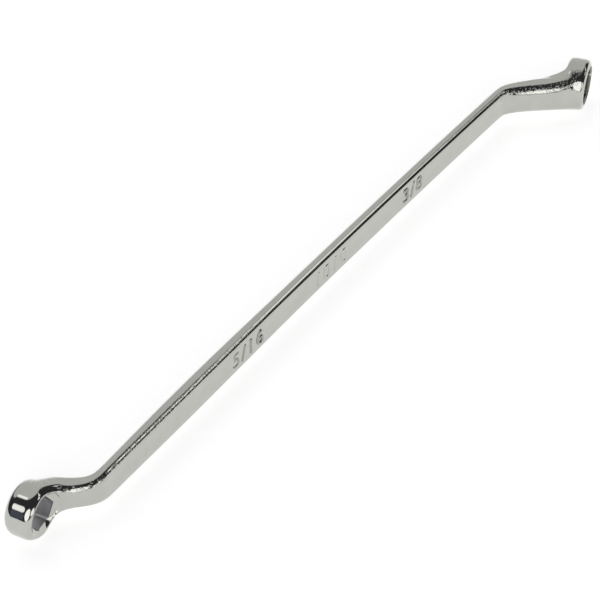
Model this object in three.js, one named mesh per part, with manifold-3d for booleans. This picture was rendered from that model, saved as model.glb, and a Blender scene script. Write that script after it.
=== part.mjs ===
import * as THREE from 'three';
import { mergeVertices } from 'three/addons/utils/BufferGeometryUtils.js';
import Module from 'manifold-3d';

// Double box-end offset wrench, lying on its side
// Millimetres, +Z up, X along the shank towards the larger box end

// Shank: the flat bar between the two bends
const shankLength = 182.9;
const shankWidth = 9.4; // upright as the wrench lies
const shankThickness = 3.3;
const shankEdge = 1.2; // radius along its four edges
const shankBow = 1.0; // how far its middle stands out to the side

// Larger box end, for 3/8 inch bleed screws
const largeAcrossFlats = 9.525;
const largeRingDiameter = 15.0;
const largeRingWidth = 6.4; // along the axis of the opening
const largeMouthDiameter = 11.6; // widest part of the lead-in to the opening
const largeMouthDepth = 0.5; // depth of the lead-in
const largeFrontEdge = 1.2; // radius round the working face
const largeBackEdge = 1.4; // radius round the back face
const largeReach = 20.85; // end of the shank to the ring's centre, along the shank
const largeOffset = 13.8; // ring's centre off the line of the shank
const largeTilt = 17.7; // degrees that the ring leans from the line of the shank
const largeNeckThickness = 6.45; // half way along the neck
const largeNeckWidth = 9.5; // half way along the neck
const largeNeckEdge = 3.0;
const largeNeckLead = 4.3; // length of the first handle of the neck's curve
const largeNeckRun = 6.5; // length of its last handle
const largeNeckAngle = 31.5; // degrees between the neck's inner end and the shank
const largeRootThickness = 8.0; // at the neck's inner end
const largeRootWidth = 11.0;
const largeRootDepth = 3.75; // ring's centre to the neck's inner end
const largeRootLift = 1.4; // neck's inner end towards the ring's back face

// Smaller box end, for 5/16 inch bleed screws
const smallAcrossFlats = 7.9375;
const smallRingDiameter = 14.1;
const smallRingWidth = 7.75; // before its mouths are cut
const smallMouthDiameter = 11.8;
const smallMouthDepth = 0.8;
const smallFrontEdge = 1.9;
const smallBackEdge = 2.35;
const smallReach = 16.45;
const smallOffset = 8.8;
const smallTilt = 8.6;
const smallNeckThickness = 5.1;
const smallNeckWidth = 7.7;
const smallNeckEdge = 2.0;
const smallNeckLead = 5.3;
const smallNeckRun = 5.8;
const smallNeckAngle = 28.5;
const smallRootThickness = 5.1;
const smallRootWidth = 11.5;
const smallRootDepth = 3.9;
const smallRootLift = -0.85;

// Shared by both box ends
const hexClearance = 0.1; // opening over the nominal size, across flats
const mouthReach = 9; // how far the way to the opening is cleared beyond the ring
const headStart = 0.55; // share of the neck's curve where the box end takes over

// Fineness
const cornerSteps = 5;
const shankSteps = 24;
const neckSteps = 12;
const rootSteps = 10;
const ringSteps = 72;
const edgeSteps = 5;

const chrome = { color: 0xb6b7b2, roughness: 0.16, metalness: 1 };
const forged = { color: 0xaeafaa, roughness: 0.24, metalness: 1 };

const wasm = await Module();
wasm.setup();

function toSolid(geometry) {
  const bare = new THREE.BufferGeometry();
  bare.setAttribute('position', geometry.getAttribute('position').clone());
  if (geometry.index) bare.setIndex(geometry.index.clone());
  const welded = mergeVertices(bare, 1e-4);
  const corners = [...welded.index.array];
  const triangles = [];
  for (let i = 0; i < corners.length; i += 3) {
    const [a, b, c] = corners.slice(i, i + 3);
    if (a !== b && b !== c && c !== a) triangles.push(a, b, c);
  }
  return new wasm.Manifold(new wasm.Mesh({
    numProp: 3,
    vertProperties: new Float32Array(welded.getAttribute('position').array),
    triVerts: new Uint32Array(triangles),
  }));
}

function toGeometry(solid) {
  const mesh = solid.getMesh();
  const geometry = new THREE.BufferGeometry();
  geometry.setAttribute('position', new THREE.BufferAttribute(new Float32Array(mesh.vertProperties), 3));
  geometry.setIndex(new THREE.BufferAttribute(new Uint32Array(mesh.triVerts), 1));
  geometry.computeVertexNormals();
  return geometry;
}

function toMesh(name, geometry, finish) {
  const mesh = new THREE.Mesh(geometry, new THREE.MeshStandardMaterial(finish));
  mesh.name = name;
  return mesh;
}

// Bar section with flats of 2 and corner radii of 1, stretched to size along each sweep
function unitSection() {
  const section = new THREE.Shape();
  section.absarc(1, 1, 1, 0, Math.PI / 2);
  section.absarc(-1, 1, 1, Math.PI / 2, Math.PI);
  section.absarc(-1, -1, 1, Math.PI, Math.PI * 1.5);
  section.absarc(1, -1, 1, Math.PI * 1.5, Math.PI * 2);
  return section;
}

function stretch(value, half, radius) {
  const flat = Math.min(Math.abs(value), 1) * (half - radius);
  const corner = Math.max(Math.abs(value) - 1, 0) * radius;
  return Math.sign(value) * (flat + corner);
}

// Sweeps the section from one share of a path to another; path gives centre, normal and section sizes
function sweep(path, from, to, steps) {
  const bar = new THREE.ExtrudeGeometry(unitSection(), {
    depth: 1, steps, bevelEnabled: false, curveSegments: cornerSteps,
  });
  const points = bar.getAttribute('position');
  for (let i = 0; i < points.count; i++) {
    const { centre, normal, size } = path(THREE.MathUtils.lerp(from, to, points.getZ(i)));
    const radius = Math.min(size.z, size.x / 2, size.y / 2);
    const across = stretch(points.getX(i), size.x / 2, radius);
    const up = stretch(points.getY(i), size.y / 2, radius);
    points.setXYZ(i, centre.x + normal.x * across, centre.y + normal.y * across, up);
  }
  return toSolid(bar);
}

const shankSize = new THREE.Vector3(shankThickness, shankWidth, shankEdge);

function shankPath(share) {
  const along = 2 * share - 1;
  return {
    centre: new THREE.Vector2(along * shankLength / 2, shankBow * (1 - along * along)),
    normal: new THREE.Vector2(0, 1),
    size: shankSize,
  };
}

// Path of a neck in its head's frame: the shank ends at the origin and the ring lies towards -Y
function neckPath(head) {
  const outward = new THREE.Vector2(Math.cos(head.tilt), Math.sin(head.tilt));
  const backward = new THREE.Vector2(-outward.y, outward.x);
  const end = new THREE.Vector2(head.reach, -head.offset);
  end.addScaledVector(outward, -head.rootDepth).addScaledVector(backward, head.rootLift);
  const entry = new THREE.Vector2(Math.cos(head.neckAngle), -Math.sin(head.neckAngle));
  const line = new THREE.CubicBezierCurve(
    new THREE.Vector2(0, 0),
    new THREE.Vector2(head.neckLead, 0),
    end.clone().addScaledVector(entry, -head.neckRun),
    end,
  );
  const root = new THREE.Vector3(head.rootThickness, head.rootWidth, head.neckEdge);
  const middle = new THREE.Vector3(head.neckThickness, head.neckWidth, head.neckEdge);
  const waist = middle.multiplyScalar(8).sub(shankSize).sub(root).divideScalar(6);
  const sizes = new THREE.CubicBezierCurve3(shankSize, waist, waist, root);
  return (share) => {
    const tangent = line.getTangent(share);
    return {
      centre: line.getPoint(share),
      normal: new THREE.Vector2(-tangent.y, tangent.x),
      size: sizes.getPoint(share),
    };
  };
}

// Quarter round of a turned profile
function round(x, y, radius, start) {
  const arc = new THREE.Path();
  arc.absarc(x, y, radius, start, start + Math.PI / 2);
  return arc.getPoints(edgeSteps);
}

// Ring without its opening, turned about Y with the back face up
function ringBlank(head) {
  const radius = head.ringDiameter / 2;
  const half = head.ringWidth / 2;
  return new THREE.LatheGeometry([
    new THREE.Vector2(0, -half),
    ...round(radius - head.frontEdge, head.frontEdge - half, head.frontEdge, -Math.PI / 2),
    ...round(radius - head.backEdge, half - head.backEdge, head.backEdge, 0),
    new THREE.Vector2(0, half),
  ], ringSteps);
}

// Lead-in cone of the opening, going on as a straight way past the neck
function mouth(head, corner, edge) {
  const outer = head.mouthDiameter / 2;
  const inset = Math.max(outer - head.ringDiameter / 2 + edge, 0);
  const rim = head.ringWidth / 2 - edge + Math.sqrt(edge * edge - inset * inset);
  const floor = rim - head.mouthDepth;
  return new THREE.LatheGeometry([
    new THREE.Vector2(0, floor),
    new THREE.Vector2(corner, floor),
    new THREE.Vector2(outer, rim),
    new THREE.Vector2(outer, rim + mouthReach),
    new THREE.Vector2(0, rim + mouthReach),
  ], ringSteps);
}

function headGroup(head) {
  const path = neckPath(head);
  const corner = (head.acrossFlats + hexClearance) / Math.sqrt(3);
  const hex = new THREE.CylinderGeometry(corner, corner, head.ringWidth, 6);
  hex.rotateY(Math.PI / 6);
  const front = mouth(head, corner, head.frontEdge).rotateX(Math.PI);
  const back = mouth(head, corner, head.backEdge);
  const place = (geometry) => toSolid(
    geometry.rotateZ(head.tilt).translate(head.reach, -head.offset, 0));
  const boxEnd = place(ringBlank(head))
    .add(sweep(path, headStart, 1, rootSteps))
    .subtract(place(hex))
    .subtract(place(front))
    .subtract(place(back));
  const group = new THREE.Group();
  group.name = `${head.name}_head`;
  group.add(toMesh(`${head.name}_neck`, toGeometry(sweep(path, 0, headStart, neckSteps)), forged));
  group.add(toMesh(`${head.name}_box_end`, toGeometry(boxEnd), chrome));
  return group;
}

const large = headGroup({
  name: 'large',
  acrossFlats: largeAcrossFlats,
  ringDiameter: largeRingDiameter,
  ringWidth: largeRingWidth,
  mouthDiameter: largeMouthDiameter,
  mouthDepth: largeMouthDepth,
  frontEdge: largeFrontEdge,
  backEdge: largeBackEdge,
  reach: largeReach,
  offset: largeOffset,
  tilt: THREE.MathUtils.degToRad(largeTilt),
  neckThickness: largeNeckThickness,
  neckWidth: largeNeckWidth,
  neckEdge: largeNeckEdge,
  neckLead: largeNeckLead,
  neckRun: largeNeckRun,
  neckAngle: THREE.MathUtils.degToRad(largeNeckAngle),
  rootThickness: largeRootThickness,
  rootWidth: largeRootWidth,
  rootDepth: largeRootDepth,
  rootLift: largeRootLift,
});
large.position.x = shankLength / 2;

const small = headGroup({
  name: 'small',
  acrossFlats: smallAcrossFlats,
  ringDiameter: smallRingDiameter,
  ringWidth: smallRingWidth,
  mouthDiameter: smallMouthDiameter,
  mouthDepth: smallMouthDepth,
  frontEdge: smallFrontEdge,
  backEdge: smallBackEdge,
  reach: smallReach,
  offset: smallOffset,
  tilt: THREE.MathUtils.degToRad(smallTilt),
  neckThickness: smallNeckThickness,
  neckWidth: smallNeckWidth,
  neckEdge: smallNeckEdge,
  neckLead: smallNeckLead,
  neckRun: smallNeckRun,
  neckAngle: THREE.MathUtils.degToRad(smallNeckAngle),
  rootThickness: smallRootThickness,
  rootWidth: smallRootWidth,
  rootDepth: smallRootDepth,
  rootLift: smallRootLift,
});
small.position.x = -shankLength / 2;
small.rotation.z = Math.PI;

const shank = toMesh('shank', toGeometry(sweep(shankPath, 0, 1, shankSteps)), chrome);

const forging = new THREE.Group();
forging.name = 'forging';
forging.add(shank, large, small);

// Origin under the middle of the whole wrench, on the table
const bounds = new THREE.Box3().setFromObject(forging, true);
const middle = bounds.getCenter(new THREE.Vector3());
forging.position.set(-middle.x, -middle.y, -bounds.min.z);

const wrench = new THREE.Group();
wrench.name = 'brake_bleeder_wrench';
wrench.add(forging);

export default wrench;
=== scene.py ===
import math

import bmesh
import bpy
from mathutils import Euler, Matrix, Vector


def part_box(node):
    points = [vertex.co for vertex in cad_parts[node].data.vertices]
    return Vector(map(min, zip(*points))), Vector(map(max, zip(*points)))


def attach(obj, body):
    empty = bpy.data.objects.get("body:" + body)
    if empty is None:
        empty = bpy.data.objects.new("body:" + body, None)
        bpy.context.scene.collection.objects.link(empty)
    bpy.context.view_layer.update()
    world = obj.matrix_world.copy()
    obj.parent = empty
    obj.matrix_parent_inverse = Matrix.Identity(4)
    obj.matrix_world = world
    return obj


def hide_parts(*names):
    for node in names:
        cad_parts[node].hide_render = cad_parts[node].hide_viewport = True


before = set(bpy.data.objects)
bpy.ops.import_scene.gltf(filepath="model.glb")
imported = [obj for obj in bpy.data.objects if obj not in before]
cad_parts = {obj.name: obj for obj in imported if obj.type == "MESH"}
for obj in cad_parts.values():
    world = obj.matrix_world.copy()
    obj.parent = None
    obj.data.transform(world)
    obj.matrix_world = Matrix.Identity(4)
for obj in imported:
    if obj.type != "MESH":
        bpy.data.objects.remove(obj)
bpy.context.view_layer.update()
scene = bpy.context.scene
mm = 0.001

# lengths are in millimetres; side 1 is the large end and -1 the small one
bar = {
    "length": 182.9, "width": 9.4, "thickness": 3.3, "edge": 1.5,  # edge is a radius
    "bow": 1.0,  # how far the middle stands off the line between the ends
    "rows": (4.0, 10.0, 20.0, 34.0, 52.0, 72.0),  # loops in from each end of the shank
    "rough": 0.4,  # forged skin of the edges at each end
    "roughEnd": {-1: 70.0, 1: 6.0},  # how far in it fades out
    "softer": {-1: 0.1, 1: 0.0},  # added to the edge radius, fading with the skin
    "swell": {-1: (0.5, 0.6), 1: (0.0, 0.0)},  # added thickness and width
    "swellAt": 38.0, "swellReach": 45.0,  # middle of the swell, in from the end, and half its length
}
largeHead = {
    "side": 1, "flats": 9.625, "ring": 15.0, "depth": 6.4,  # hexagon, and the ring's width and depth
    "front": 1.2, "back": 1.4,  # radii of the ring's edges
    "mouth": 11.6, "cone": 0.5, "lipRise": 1.1,  # lead-in's width and depth, hexagon's rise at the neck
    "paintedShade": 0.85,  # painted shade darkening the opening
    "reach": 20.85, "offset": 13.8, "tilt": 17.7,  # ring's middle from the end of the shank, and its lean
    "lead": 4.3, "run": 6.5, "angle": 31.5,  # handles of the neck's curve, and its slope at the ring
    "rootDepth": 3.75, "rootLift": 1.4,  # end of that curve from the ring's middle
    "neck": (6.45, 9.5, 3.0),  # thickness, width and edge radius half-way along the neck
    "root": (8.0, 11.0, 3.0),  # and at the ring
    "rough": 0.3,  # forged skin of the neck's edges
    "join": 48, "joinRim": 36,  # degrees each side of the neck where it meets the wall and the rim
    # shares of the neck's length where its loops lie, on the outer and the inner face
    "loops": ((0.86, 0.56), (0.74, 0.50), (0.62, 0.44), (0.50, 0.38),
              (0.38, 0.31), (0.26, 0.22), (0.13, 0.12), (0, 0)),
}
smallHead = {
    "side": -1, "flats": 8.0375, "ring": 14.1, "depth": 7.75,
    "front": 1.9, "back": 2.35,
    "mouth": 11.8, "cone": 0.8, "lipRise": 0.75,
    "paintedShade": 0.0,
    "reach": 16.45, "offset": 8.8, "tilt": 8.6,
    "lead": 5.3, "run": 5.8, "angle": 28.5,
    "rootDepth": 3.9, "rootLift": -0.85,
    "neck": (5.1, 7.7, 2.0),
    "root": (5.1, 11.5, 1.2),
    "rough": 0.25,
    "join": 66, "joinRim": 38,
    "loops": ((0.80, 0.52), (0.70, 0.46), (0.60, 0.41), (0.50, 0.36),
              (0.38, 0.29), (0.26, 0.21), (0.13, 0.11), (0, 0)),
}
shankLow, shankHigh = (Vector(corner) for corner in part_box("shank"))
shankMiddle = (shankLow + shankHigh) / 2
shankMiddle.y = shankLow.y + bar["thickness"] / 2 * mm

# the forging is a cage of quads that Subdivision Surface rounds off
cage = {
    "levels": 3,
    "chamfer": 0.586,  # subdivides to a radius of 1
    "mergeGap": 1e-4, "weldGap": 0.01,  # points merged in a ring, and where the two halves meet
}


def addObject(name, data):
    piece = bpy.data.objects.new(name, data)
    scene.collection.objects.link(piece)
    return piece


# millimetres from the middle of the shank to the frame's metres
def toFrame(bm):
    bmesh.ops.scale(bm, verts=bm.verts, vec=(mm, mm, mm))
    bmesh.ops.translate(bm, verts=bm.verts, vec=shankMiddle)
    bmesh.ops.recalc_face_normals(bm, faces=bm.faces)


def cubicMix(a, b, c, d, s):
    return a * (1 - s) ** 3 + 3 * b * s * (1 - s) ** 2 + 3 * c * s * s * (1 - s) + d * s ** 3


# middle of a ring from the end of the shank, the way out along it and the way to its back
def headAxes(head):
    tilt = math.radians(head["tilt"])
    outward = Vector((math.cos(tilt), math.sin(tilt)))
    return Vector((head["reach"], -head["offset"])), outward, Vector((-outward.y, outward.x))


# centre, normal and section sizes of the neck at a share of its length
def neckStation(head, s):
    centre, outward, backward = headAxes(head)
    end = centre - outward * head["rootDepth"] + backward * head["rootLift"]
    angle = math.radians(head["angle"])
    hold = end - Vector((math.cos(angle), -math.sin(angle))) * head["run"]
    start = Vector((head["lead"], 0))
    spot = cubicMix(Vector((0, 0)), start, hold, end, s)
    way = start * (1 - s) ** 2 + 2 * (hold - start) * s * (1 - s) + (end - hold) * s * s
    way.normalize()
    atShank = (bar["thickness"], bar["width"], bar["edge"])
    sizes = []
    for first, middle, last in zip(atShank, head["neck"], head["root"]):
        waist = (8 * middle - first - last) / 6  # puts the middle size half-way
        sizes.append(cubicMix(first, waist, waist, last, s))
    return spot, Vector((-way.y, way.x)), sizes


# share of the forged skin that is left, in from the end of the shank
def skinLeft(side, inward):
    return max(0.0, 1 - inward / bar["roughEnd"][side])


# centre, normal and section sizes of the shank, in from one of its ends
def shankStation(head, inward):
    side = head["side"]
    share = 1 - inward / (bar["length"] / 2)
    lift = side * bar["bow"] * (1 - share * share)
    edge = bar["edge"] + bar["softer"][side] * skinLeft(side, inward)
    thick, wide = bar["swell"][side]
    full = max(0.0, 1 - ((inward - bar["swellAt"]) / bar["swellReach"]) ** 2) ** 2
    sizes = (bar["thickness"] + thick * full, bar["width"] + wide * full, edge)
    return Vector((-inward, lift)), Vector((0, 1)), sizes


neckSearch = {"count": 101, "step": 0.008}  # stations tried from the ring on, and the share between them


# height of a neck's face over the ring's middle plane, at a distance from the ring's axis
def faceHeight(head, away, face):  # face 1 is the inner one, -1 the outer
    centre, outward, backward = headAxes(head)
    last = None
    for i in range(neckSearch["count"]):
        spot, normal, sizes = neckStation(head, 1 - i * neckSearch["step"])
        offset = spot + normal * face * sizes[0] / 2 - centre
        here = (-offset.dot(outward), offset.dot(backward))
        if here[0] >= away:
            if last is None:
                return here[1]
            share = (away - last[0]) / (here[0] - last[0])
            return last[1] + (here[1] - last[1]) * share
        last = here
    return last[1]


ringCut = {
    "steps": 24, "sideSteps": 4,  # round the ring, and to a side of the hexagon
    "open": 4, "fade": 3,  # steps that the neck takes up each side, and steps over which its pull fades
    "rim": 0.35,  # flat rim round the back mouth
    "cornerFlat": 0.45,  # from each corner of the hexagon to its flattened edge
    "wallMargin": 0.5,  # wall under the neck, above the front rounding
    "frontTurns": (0, 0.55, 1), "backTurns": (0, 0.4, 0.75, 1),  # points on the roundings, as shares
    "rimCrease": 0.6, "neckCrease": 0.2,  # sharpness of the rims, and of the back one along the neck
    "cornerDrop": 1.5,  # chamfers from the neck's inner face down to the ring's rounding
    "wallSkin": 0.8,  # share of the neck's forged skin on the wall beside it
}
neckStep = ringCut["steps"] // 2  # the step that faces the neck
chromeFace, broachedFace = 0, 1  # materials of the forging

# places of the named points in a ring's half section
hexFront, frontRim, lowWall, highWall = 0, 1, 4, 6
backRound, backRim, rimInside, hexBack, hexMiddle = 8, 9, 10, 11, 12
hexLevels = (hexFront, hexBack, hexMiddle)
openingLevels = hexLevels + (frontRim,)

# a loop of the neck has a column for each open step, and rows from lowWall to backRim along its two edges
edgeColumn = ringCut["open"]
innerRow = backRim - lowWall
middleRow = innerRow / 2
faceLoop = {"beside": 1.2, "least": 0.6}  # chamfers in from an edge, and least share of the half width


# column runs from the bottom edge to the top one, row from 0 on the outer face to the inner one
def sectionPoint(station, column, row):
    centre, normal, (thick, wide, edge) = station
    chamfer = cage["chamfer"] * edge
    top = wide / 2 - chamfer
    if row in (0, innerRow):
        across = thick / 2 if row == innerRow else -thick / 2
        beside = max(top - faceLoop["beside"] * chamfer, faceLoop["least"] * top)
        up = math.copysign(top, column) if abs(column) == edgeColumn else beside * column / (edgeColumn - 1)
    else:
        across = (thick / 2 - chamfer) * (row - middleRow) / (middleRow - 1)
        up = math.copysign(wide / 2, column)
    spot = centre + normal * across
    return Vector((spot.x, spot.y, up))


# points on the rounded edge of a ring, from its wall to the rim of its mouth
def edgeRound(head, edge, shares):
    inside, top = head["ring"] / 2 - edge, head["depth"] / 2 - edge
    last = math.acos(max(head["mouth"] / 2 - inside, 0) / edge)
    turns = [last * share for share in shares]
    return [(inside + edge * math.cos(turn), top + edge * math.sin(turn)) for turn in turns]


# half section of a ring, from the hexagon's front round the wall and back
def ringProfile(head):
    corner = head["flats"] / math.sqrt(3)
    mouth = head["mouth"] / 2
    wall, front, frontLip = edgeRound(head, head["front"], ringCut["frontTurns"])
    high, back, backToo, backLip = edgeRound(head, head["back"], ringCut["backTurns"])
    low = ringCut["wallMargin"] - wall[1]
    return [
        (corner, head["cone"] - frontLip[1]),  # hexFront
        (mouth, -frontLip[1]),  # frontRim
        (front[0], -front[1]),
        (wall[0], -wall[1]),
        (wall[0], low),  # lowWall
        (wall[0], (low + high[1]) / 2),
        high,  # highWall
        back,
        backToo,  # backRound
        (mouth, backLip[1]),  # backRim
        (mouth - ringCut["rim"], backLip[1]),  # rimInside
        (corner, backLip[1] - head["cone"]),  # hexBack
        (corner, 0.0),  # hexMiddle
    ]


# place of a step round the hexagon: a corner, its flattened edge, the middle of the side, the next
# flattened edge
def hexPoint(corner, step):
    side, quarter = divmod(step, ringCut["sideSteps"])
    turns = (math.radians(60 * side), math.radians(60 * (side + 1)))
    start, end = (Vector((corner * math.cos(t), corner * math.sin(t))) for t in turns)
    near = ringCut["cornerFlat"] / corner
    if quarter == 0:
        return start * (1 - near / 2)
    return start.lerp(end, (near, 0.5, 1 - near)[quarter - 1])


# how far a step of the ring turns, so that the neck meets the wall and the rim at its own angles
def joinTurn(head, column, atRim):
    even = 360 / ringCut["steps"]
    edge = ringCut["open"] * even
    still = edge + ringCut["fade"] * even
    angle = abs(column) * even
    if angle <= edge:
        moved = angle / edge * head["joinRim" if atRim else "join"]
    elif angle < still:
        moved = still - (still - head["join"]) * (still - angle) / (still - edge)
    else:
        moved = angle
    return math.radians(moved - angle) * (1 if column > 0 else -1)


def spinRing(profile):
    bm = bmesh.new()
    points = [bm.verts.new((x, 0, z)) for x, z in profile]
    edges = [bm.edges.new((points[i - 1], points[i])) for i in range(len(points))]
    bmesh.ops.spin(bm, geom=points + edges, cent=(0, 0, 0), axis=(0, 0, 1), dvec=(0, 0, 0),
                   angle=2 * math.pi, steps=ringCut["steps"], use_merge=True)
    bmesh.ops.remove_doubles(bm, verts=bm.verts, dist=cage["mergeGap"])
    return bm


# each point keeps its step round the ring and its level in the half section, also along the neck
def numberPoints(bm, profile):
    layers = {name: bm.verts.layers.int.new(name) for name in ("step", "level")}
    layers.update({name: bm.verts.layers.float.new(name) for name in ("forged", "cornerGlint", "paintedShade")})
    layers["crease"] = bm.edges.layers.float.new("crease_edge")
    for v in bm.verts:
        spot = Vector((math.hypot(v.co.x, v.co.y), v.co.z))
        share = math.atan2(v.co.y, v.co.x) % (2 * math.pi) / (2 * math.pi)
        gaps = [(Vector(point) - spot).length for point in profile]
        v[layers["step"]] = round(share * ringCut["steps"]) % ringCut["steps"]
        v[layers["level"]] = gaps.index(min(gaps))
    return layers


# hexagon inside, and the wall's steps turned to meet the neck
def shapeRing(bm, layers, head, profile):
    step, level = layers["step"], layers["level"]
    circleShare = (4 + 2 * math.cos(2 * math.pi / ringCut["steps"])) / 6  # how far a cage circle shrinks
    for v in bm.verts:
        # the opening's points take the ring's share of painted shade
        if v[level] in openingLevels:
            v[layers["paintedShade"]] = head["paintedShade"]
        if v[level] in hexLevels:
            v.co.xy = hexPoint(profile[v[level]][0], v[step])
            # painted highlight at each corner of the hexagon
            v[layers["cornerGlint"]] = 1.0 if v[step] % ringCut["sideSteps"] == 0 else 0.0
            continue
        column = v[step] - neckStep
        if abs(abs(column) - ringCut["open"]) <= 1 and lowWall <= v[level] <= highWall:
            v[layers["forged"]] = ringCut["wallSkin"] * head["rough"]
        turn = joinTurn(head, column, v[level] in (backRound, backRim, rimInside))
        v.co.xy = Matrix.Rotation(turn, 2) @ v.co.xy / circleShare
    for f in bm.faces:
        inOpening = all(v[level] in openingLevels for v in f.verts)
        f.material_index = broachedFace if inOpening else chromeFace


def creaseRing(bm, layers):
    step, level = layers["step"], layers["level"]
    for e in bm.edges:
        a, b = e.verts
        around = a[level] == b[level]
        inHex = a[level] in hexLevels and b[level] in hexLevels
        corner = a[step] == b[step] and a[step] % 2  # the flattened edges have the odd steps
        lip = around and a[level] != hexMiddle
        if inHex and (corner or lip):
            e[layers["crease"]] = 1.0
            e.smooth = False
        elif around and a[level] in (frontRim, backRim, rimInside):
            faced = min(abs(a[step] - neckStep), abs(b[step] - neckStep)) < ringCut["open"]
            e[layers["crease"]] = ringCut["neckCrease" if faced and a[level] == backRim else "rimCrease"]


# the wall and the mouth's rim go to the faces of the neck, and the wall between them opens
def openRing(bm, layers, head, low):
    step, level = layers["step"], layers["level"]
    for v in bm.verts:
        column = v[step] - neckStep
        if abs(column) > ringCut["open"]:
            continue
        away = -v.co.x
        if v[level] == lowWall:
            v.co.z = max(faceHeight(head, away, -1), low)
        elif v[level] == backRim:
            v.co.z = max(faceHeight(head, away, 1), v.co.z)
        elif v[level] in (rimInside, hexBack):
            v.co.z += head["lipRise"] * math.cos(column * math.pi / 2 / (ringCut["open"] + 1)) ** 2
        elif v[level] == backRound and abs(column) == ringCut["open"]:
            drop = ringCut["cornerDrop"] * cage["chamfer"] * head["root"][2]
            v.co.z = max(faceHeight(head, away, 1) - drop, v.co.z)
    gone = []
    for f in bm.faces:
        facing = all(abs(v[step] - neckStep) <= ringCut["open"] for v in f.verts)
        if facing and all(lowWall <= v[level] <= backRim for v in f.verts):
            gone.append(f)
    bmesh.ops.delete(bm, geom=gone, context="FACES")


# ring to its place at the end of the neck
def placeRing(bm, head):
    centre, outward, backward = headAxes(head)
    place = Matrix(((outward.x, 0, backward.x, centre.x), (outward.y, 0, backward.y, centre.y),
                    (0, -1, 0, 0), (0, 0, 0, 1)))
    bmesh.ops.transform(bm, matrix=place, verts=bm.verts)


# neck and half the shank, one loop after the other from the opened ring
def drawNeck(bm, layers, head):
    loops = [(neckStation, pair) for pair in head["loops"]]
    loops += [(shankStation, (inward, inward)) for inward in bar["rows"] + (bar["length"] / 2,)]
    rim = [e for e in bm.edges if e.is_boundary]
    for station, (outer, inner) in loops:
        made = bmesh.ops.extrude_edge_only(bm, edges=rim)["geom"]
        for v in (g for g in made if isinstance(g, bmesh.types.BMVert)):
            column, row = v[layers["step"]] - neckStep, v[layers["level"]] - lowWall
            s = outer + (inner - outer) * row / innerRow
            v.co = sectionPoint(station(head, s), column, row)
            rough = head["rough"]
            if station is shankStation:
                rough = bar["rough"] * skinLeft(head["side"], s)
            alongEdge = abs(column) == edgeColumn and abs(row - middleRow) > 1
            v[layers["forged"]] = rough if alongEdge else 0.0
        rim = [g for g in made if isinstance(g, bmesh.types.BMEdge) and g.is_boundary]


def buildHead(head):
    profile = ringProfile(head)
    bm = spinRing(profile)
    layers = numberPoints(bm, profile)
    shapeRing(bm, layers, head, profile)
    creaseRing(bm, layers)
    openRing(bm, layers, head, profile[lowWall][1])
    placeRing(bm, head)
    drawNeck(bm, layers, head)
    if head["side"] < 0:
        bmesh.ops.rotate(bm, verts=bm.verts, cent=(0, 0, 0), matrix=Matrix.Rotation(math.pi, 3, "Z"))
    bmesh.ops.translate(bm, verts=bm.verts, vec=(head["side"] * bar["length"] / 2, 0, 0))
    return bm


# both heads in one mesh, welded at the middle of the shank
def buildForging():
    bm = buildHead(largeHead)
    small = buildHead(smallHead)
    half = bpy.data.meshes.new("half")
    small.to_mesh(half)
    small.free()
    bm.from_mesh(half)
    bpy.data.meshes.remove(half)
    bmesh.ops.remove_doubles(bm, verts=bm.verts, dist=cage["weldGap"])
    toFrame(bm)
    for f in bm.faces:
        f.smooth = True
    gaps = sum(1 for e in bm.edges if not e.is_manifold)
    print("forging: faces", len(bm.faces), "open edges", gaps)
    mesh = bpy.data.meshes.new("forging")
    bm.to_mesh(mesh)
    bm.free()
    piece = addObject("forging", mesh)
    soft = piece.modifiers.new("round", "SUBSURF")
    soft.levels = cage["levels"]
    soft.render_levels = cage["levels"]
    return piece


# raised numbers on the broad face, placed from the middle of the shank
sizeMarks = {
    "5_16": {"text": "5/16", "along": -33.5, "up": -0.2, "bevel": 0.34, "faint": False},
    "number": {"text": "1010", "along": 4.6, "up": -0.2, "bevel": 0.24, "faint": True},
    "3_8": {"text": "3/8", "along": 44.0, "up": 0.1, "bevel": 0.3, "faint": False},
}
markLook = {
    "size": 6.6, "spacing": 1.2, "rise": 0.02, "bevelSteps": 2,
    "thin": 0.65, "sink": 0.25,  # shares of the bevel
}


def buildMark(name, mark):
    letters = bpy.data.curves.new(name, "FONT")
    letters.body = mark["text"]
    letters.size = markLook["size"]
    letters.align_x = "CENTER"
    letters.align_y = "CENTER"
    letters.space_character = markLook["spacing"]
    letters.offset = -markLook["thin"] * mark["bevel"]
    letters.extrude = markLook["rise"]
    letters.bevel_depth = mark["bevel"]
    letters.bevel_resolution = markLook["bevelSteps"]
    source = bpy.data.objects.new(name, letters)
    mesh = bpy.data.meshes.new_from_object(source)
    bpy.data.objects.remove(source)
    mesh.name = name
    head = largeHead if mark["along"] > 0 else smallHead
    centre, _, sizes = shankStation(head, bar["length"] / 2 - abs(mark["along"]))
    face = head["side"] * centre.y - sizes[0] / 2 + markLook["sink"] * mark["bevel"]
    turn = Matrix(((1, 0, 0, mark["along"]), (0, 0, -1, face), (0, 1, 0, mark["up"]), (0, 0, 0, 1)))
    bm = bmesh.new()
    bm.from_mesh(mesh)
    bmesh.ops.remove_doubles(bm, verts=bm.verts, dist=cage["mergeGap"])
    bmesh.ops.transform(bm, matrix=turn, verts=bm.verts)
    toFrame(bm)
    bm.to_mesh(mesh)
    bm.free()
    return addObject(name, mesh)


skinLook = {
    "flecks": (0.52, 0.68),  # where the grain starts to stand out, and where it is full
    "grainDetail": 3.0, "waveDetail": 1.0,
    "faint": 0.2,  # height of the wave
    "even": 0.3,  # mask of a piece with no forged edges
}


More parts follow.
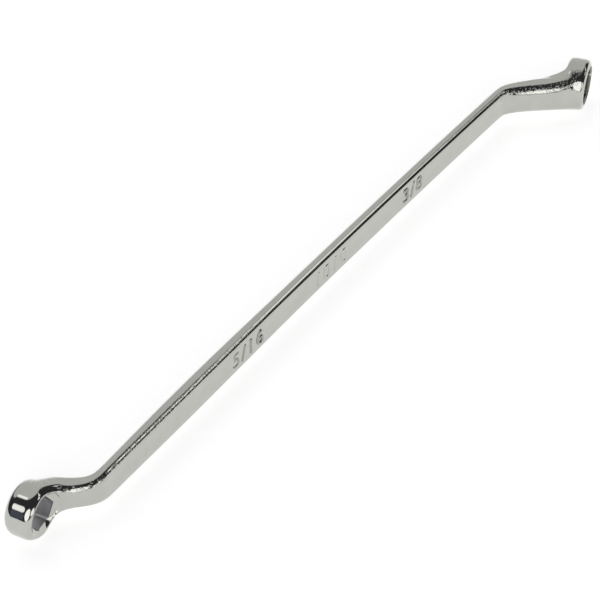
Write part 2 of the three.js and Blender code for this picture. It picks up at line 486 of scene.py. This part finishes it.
# uneven skin: bumps where the mask is, a faint wave everywhere
def skinGroup():
    group = bpy.data.node_groups.new("skin", "ShaderNodeTree")
    group.interface.new_socket("Place", in_out="INPUT", socket_type="NodeSocketVector")
    for name in ("Mask", "Grain", "Wave"):
        group.interface.new_socket(name, in_out="INPUT", socket_type="NodeSocketFloat")
    for name in ("Height", "Spread"):
        group.interface.new_socket(name, in_out="OUTPUT", socket_type="NodeSocketFloat")
    nodes, links = group.nodes, group.links
    given = nodes.new("NodeGroupInput")
    result = nodes.new("NodeGroupOutput")
    grain = nodes.new("ShaderNodeTexNoise")
    grain.inputs["Detail"].default_value = skinLook["grainDetail"]
    wave = nodes.new("ShaderNodeTexNoise")
    wave.inputs["Detail"].default_value = skinLook["waveDetail"]
    flecks = nodes.new("ShaderNodeMapRange")
    flecks.interpolation_type = "SMOOTHSTEP"
    flecks.inputs["From Min"].default_value = skinLook["flecks"][0]
    flecks.inputs["From Max"].default_value = skinLook["flecks"][1]
    bumps = nodes.new("ShaderNodeMath")
    bumps.operation = "MULTIPLY"
    total = nodes.new("ShaderNodeMath")
    total.operation = "MULTIPLY_ADD"
    total.inputs[1].default_value = skinLook["faint"]
    links.new(given.outputs["Place"], grain.inputs["Vector"])
    links.new(given.outputs["Place"], wave.inputs["Vector"])
    links.new(given.outputs["Grain"], grain.inputs["Scale"])
    links.new(given.outputs["Wave"], wave.inputs["Scale"])
    links.new(grain.outputs["Fac"], flecks.inputs["Value"])
    links.new(flecks.outputs["Result"], bumps.inputs[0])
    links.new(given.outputs["Mask"], bumps.inputs[1])
    links.new(wave.outputs["Fac"], total.inputs[0])
    links.new(bumps.outputs[0], total.inputs[2])
    links.new(total.outputs[0], result.inputs["Height"])
    links.new(wave.outputs["Fac"], result.inputs["Spread"])
    return group


# a colour over another colour or socket, in the shares that a socket gives
def layColour(tree, under, share, over):
    mix = tree.nodes.new("ShaderNodeMix")
    mix.data_type = "RGBA"
    shareIn, underIn, overIn, colourOut = mix.inputs[0], mix.inputs[6], mix.inputs[7], mix.outputs[2]
    tree.links.new(share, shareIn)
    if isinstance(under, tuple):
        underIn.default_value = under + (1,)
    else:
        tree.links.new(under, underIn)
    overIn.default_value = over + (1,)
    return colourOut


def layerShare(tree, layer):
    node = tree.nodes.new("ShaderNodeAttribute")
    node.attribute_name = layer
    return node.outputs["Fac"]


# smooth and rough are the ends of the roughness, grain and wave are noise scales, bump is in metres
chromeLook = {
    "dark": (0.47, 0.475, 0.437), "light": (0.52, 0.525, 0.485), "smooth": 0.05, "rough": 0.11,
    "grain": 1900.0, "wave": 260.0, "bump": 0.00012,
}
# darker base colour for the size marks: painted shade along their raised strokes
markShadeLook = dict(chromeLook, dark=(0.27, 0.27, 0.25), light=(0.40, 0.40, 0.375))
broachLook = {
    "dark": (0.40, 0.40, 0.41), "light": (0.56, 0.56, 0.565), "smooth": 0.3, "rough": 0.42,
    "grain": 2600.0, "wave": 700.0, "bump": 0.00005,
    # the dark olive below is painted shade for the ring's opening, and the near white after it a painted
    # highlight along the hexagon's corners
    "paintedShade": (0.11, 0.105, 0.075), "cornerGlint": (0.98, 0.98, 0.97),
}


def metal(name, look, skin, masked):
    material = bpy.data.materials.new(name)
    material.use_nodes = True
    tree = material.node_tree
    nodes, links = tree.nodes, tree.links
    shader = nodes["Principled BSDF"]
    shader.inputs["Metallic"].default_value = 1.0
    place = nodes.new("ShaderNodeTexCoord")
    uneven = nodes.new("ShaderNodeGroup")
    uneven.node_tree = skin
    uneven.inputs["Mask"].default_value = skinLook["even"]
    uneven.inputs["Grain"].default_value = look["grain"]
    uneven.inputs["Wave"].default_value = look["wave"]
    links.new(place.outputs["Object"], uneven.inputs["Place"])
    if masked:
        links.new(layerShare(tree, "forged"), uneven.inputs["Mask"])
    colour = layColour(tree, look["dark"], uneven.outputs["Spread"], look["light"])
    # painted shade in the opening and a painted highlight along the hexagon's corners, laid over the base
    # colour
    for layer in ("paintedShade", "cornerGlint"):
        if layer in look:
            colour = layColour(tree, colour, layerShare(tree, layer), look[layer])
    links.new(colour, shader.inputs["Base Color"])
    gloss = nodes.new("ShaderNodeMapRange")
    gloss.inputs["To Min"].default_value = look["smooth"]
    gloss.inputs["To Max"].default_value = look["rough"]
    links.new(uneven.outputs["Spread"], gloss.inputs["Value"])
    links.new(gloss.outputs["Result"], shader.inputs["Roughness"])
    bump = nodes.new("ShaderNodeBump")
    bump.inputs["Distance"].default_value = look["bump"]
    links.new(uneven.outputs["Height"], bump.inputs["Height"])
    links.new(bump.outputs["Normal"], shader.inputs["Normal"])
    return material


skin = skinGroup()
chrome = metal("chrome", chromeLook, skin, True)
broached = metal("broached", broachLook, skin, False)
raised = metal("raised", markShadeLook, skin, False)
print("materials: chrome, broached, raised")

forging = buildForging()
forging.data.materials.append(chrome)
forging.data.materials.append(broached)
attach(forging, "root")
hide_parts("shank", "large_neck", "large_box_end", "small_neck", "small_box_end")
for name, mark in sizeMarks.items():
    piece = buildMark("size_" + name, mark)
    piece.data.materials.append(chrome if mark["faint"] else raised)
    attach(piece, "root")
print("size marks:", len(sizeMarks))

# floor: white to the camera and in reflections, with the wrench's soft shadow
floorLook = {"size": 2.0, "colour": 0.8, "fill": 0.68}


def buildFloor():
    mesh = bpy.data.meshes.new("floor")
    bm = bmesh.new()
    bmesh.ops.create_grid(bm, x_segments=1, y_segments=1, size=floorLook["size"])
    bm.to_mesh(mesh)
    bm.free()
    paper = bpy.data.materials.new("paper")
    paper.use_nodes = True
    nodes, links = paper.node_tree.nodes, paper.node_tree.links
    nodes.clear()
    out = nodes.new("ShaderNodeOutputMaterial")
    matt = nodes.new("ShaderNodeBsdfDiffuse")
    matt.inputs["Color"].default_value = (floorLook["colour"],) * 3 + (1,)
    glow = nodes.new("ShaderNodeEmission")
    both = nodes.new("ShaderNodeAddShader")
    rays = nodes.new("ShaderNodeLightPath")
    seen = rays.outputs["Is Camera Ray"]
    for kind in ("Is Glossy Ray", "Is Transmission Ray"):
        either = nodes.new("ShaderNodeMath")
        either.operation = "MAXIMUM"
        links.new(seen, either.inputs[0])
        links.new(rays.outputs[kind], either.inputs[1])
        seen = either.outputs[0]
    fill = nodes.new("ShaderNodeMath")
    fill.operation = "MULTIPLY"
    fill.inputs[1].default_value = floorLook["fill"]
    links.new(seen, fill.inputs[0])
    links.new(fill.outputs[0], glow.inputs["Strength"])
    links.new(matt.outputs[0], both.inputs[0])
    links.new(glow.outputs[0], both.inputs[1])
    links.new(both.outputs[0], out.inputs["Surface"])
    mesh.materials.append(paper)
    return addObject("floor", mesh)


buildFloor()
print("floor: metres each side", floorLook["size"])

view = {
    "turn": (47.7297, -0.0682, -55.1627),  # degrees about X, Y and Z
    "eye": (-372.91, -252.69, 400.76),  # from the middle of the shank
    "focal": 2283.8, "across": 600,  # in pixels
    "sensor": 36.0, "nearest": 10.0,
}


def buildCamera():
    data = bpy.data.cameras.new("camera")
    data.sensor_width = view["sensor"]
    data.lens = view["focal"] / view["across"] * view["sensor"]
    data.clip_start = view["nearest"] * mm
    turn = Euler([math.radians(degrees) for degrees in view["turn"]])
    eye = shankMiddle + Vector(view["eye"]) * mm
    camera = addObject("camera", data)
    camera.matrix_world = Matrix.Translation(eye) @ turn.to_matrix().to_4x4()
    scene.camera = camera
    print("camera: lens", round(data.lens, 1))


buildCamera()

# studio seen in the chrome: patches of light by direction, laid one over the other
darkRoom = (0.04, 0.04, 0.045)
blueCloth = (0.10, 0.11, 0.15)
greyCard = (0.73, 0.73, 0.73)
softLamp = (1.6, 1.6, 1.6)
lamp = (1.7, 1.7, 1.7)
brightLamp = (1.8, 1.8, 1.8)
studio = {
    "turn": -55.515,  # degrees about Z to the viewer's right
    "plain": darkRoom,
    "patches": (  # right, far and up parts of the direction, degrees to its edge, softness, colour
        ((0.66, 0.33, 0.67), 13, 2, lamp),  # these four make the lines along the broad face
        ((0.43, -0.02, 0.90), 24, 2, darkRoom),
        ((0.65, 0.62, 0.45), 20, 4, darkRoom),
        ((0.87, 0.03, 0.49), 6, 1.5, lamp),
        ((-0.25, 0.65, 0.72), 38, 3, greyCard),  # the far side, high and low
        ((0.1, 0.99, 0.1), 30, 6, greyCard),
        ((-0.60, -0.15, 0.79), 15, 3, darkRoom),
        ((0.0, -0.90, 0.42), 24, 2, brightLamp),  # the near side
        ((-0.63, -0.45, 0.63), 10, 2, softLamp),
        ((-0.72, -0.64, 0.27), 12, 4, blueCloth),
        ((-0.37, 0.12, 0.92), 4.5, 1.5, softLamp),
        ((0.70, -0.66, 0.25), 12, 3, lamp),
    ),
}


def buildWorld():
    world = bpy.data.worlds.new("studio")
    scene.world = world
    world.use_nodes = True
    tree = world.node_tree
    coords = tree.nodes.new("ShaderNodeTexCoord")
    turn = Matrix.Rotation(math.radians(studio["turn"]), 3, "Z")
    colour = studio["plain"]
    for toward, reach, soft, shade in studio["patches"]:
        near = tree.nodes.new("ShaderNodeVectorMath")
        near.operation = "DOT_PRODUCT"
        near.inputs[1].default_value = (turn @ Vector(toward)).normalized()
        tree.links.new(coords.outputs["Generated"], near.inputs[0])
        mask = tree.nodes.new("ShaderNodeMapRange")
        mask.interpolation_type = "SMOOTHSTEP"
        mask.inputs["From Min"].default_value = math.cos(math.radians(reach + soft))
        mask.inputs["From Max"].default_value = math.cos(math.radians(reach - soft))
        tree.links.new(near.outputs["Value"], mask.inputs["Value"])
        colour = layColour(tree, colour, mask.outputs["Result"], shade)
    tree.links.new(colour, tree.nodes["Background"].inputs["Color"])


buildWorld()
print("studio: patches", len(studio["patches"]))

scene.view_settings.view_transform = "Standard"
